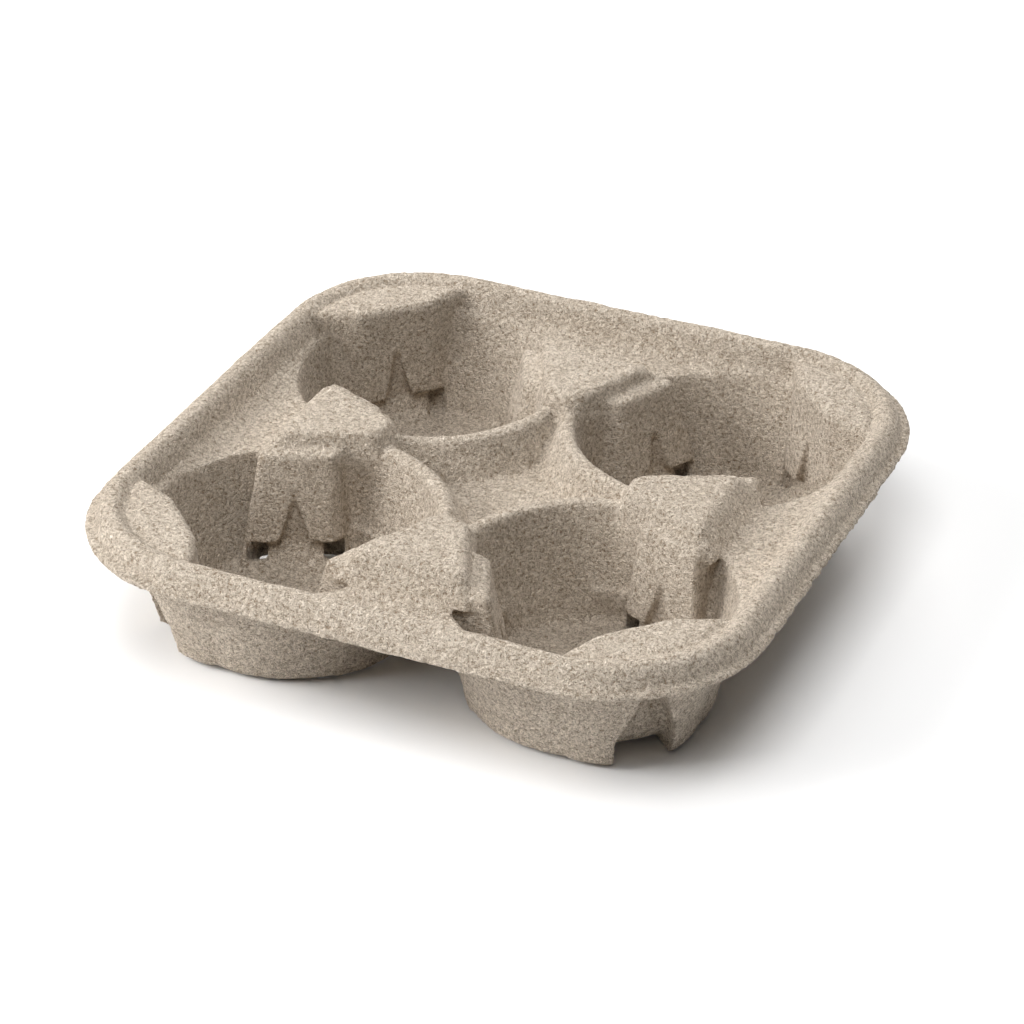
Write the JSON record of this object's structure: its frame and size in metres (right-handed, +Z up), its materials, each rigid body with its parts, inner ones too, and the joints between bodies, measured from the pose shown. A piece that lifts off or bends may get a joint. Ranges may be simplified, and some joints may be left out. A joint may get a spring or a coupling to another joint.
{
  "type": "moulded pulp cup carrier tray",
  "caption": "Square moulded pulp carrier tray with round cup wells, raised pylons with flaps between them, a star-shaped middle hollow and a rolled rim.",
  "frame": {"origin": "bottom centre of the tray: on its vertical axis, in the plane of the feet's undersides", "axes": "+Z up, out of the cup wells; +X and +Y square to the straight sides of the rim"},
  "size_m": [0.216, 0.216, 0.046],
  "materials": {
    "pulp": "matte moulded paper pulp, unprinted, slightly fibrous"
  },
  "bodies": {
    "root": {"tray": "pulp"}
  },
  "joints": []
}
